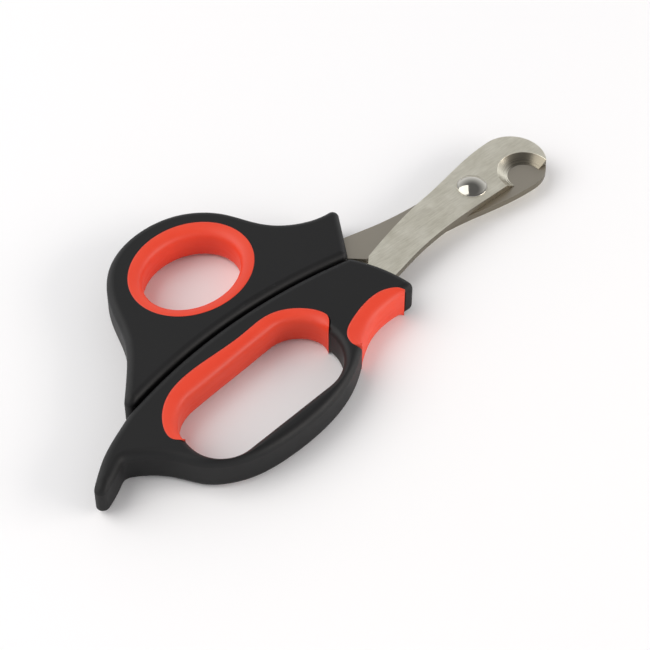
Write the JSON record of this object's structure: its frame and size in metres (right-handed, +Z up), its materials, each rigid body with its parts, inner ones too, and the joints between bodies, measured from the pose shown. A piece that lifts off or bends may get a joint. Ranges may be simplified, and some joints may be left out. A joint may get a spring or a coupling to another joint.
{
  "type": "pet nail scissors",
  "caption": "Scissor-type pet nail trimmer with half-round nail notches in two riveted blades, a thumb ring and a finger loop with soft grips, and a horn-shaped finger hook.",
  "frame": {"origin": "under the middle of the closed scissors, on the surface they lie on", "axes": "+X along the blades towards the tip, +Y towards the thumb ring, +Z up off the table"},
  "size_m": [0.1418, 0.0678, 0.0085],
  "materials": {
    "blade_steel": "satin ground stainless steel",
    "rivet_steel": "polished stainless steel",
    "black_plastic": "matt moulded",
    "red_soft_grip": "satin soft-touch elastomer"
  },
  "bodies": {
    "finger_half": {"upper_blade": "blade_steel", "rivet_post": "rivet_steel", "rivet_pin": "rivet_steel", "finger_handle": "black_plastic", "finger_loop_grip": "red_soft_grip", "index_rest_grip": "red_soft_grip"},
    "thumb_half": {"lower_blade": "blade_steel", "thumb_handle": "black_plastic", "thumb_ring_grip": "red_soft_grip"}
  },
  "joints": [
    {"name": "pivot", "type": "hinge", "parent": "finger_half", "child": "thumb_half", "pos_m": [0.04972, -0.0048, 0.00425], "axis": [0, 0, -1], "range_deg": [0, 35]}
  ]
}
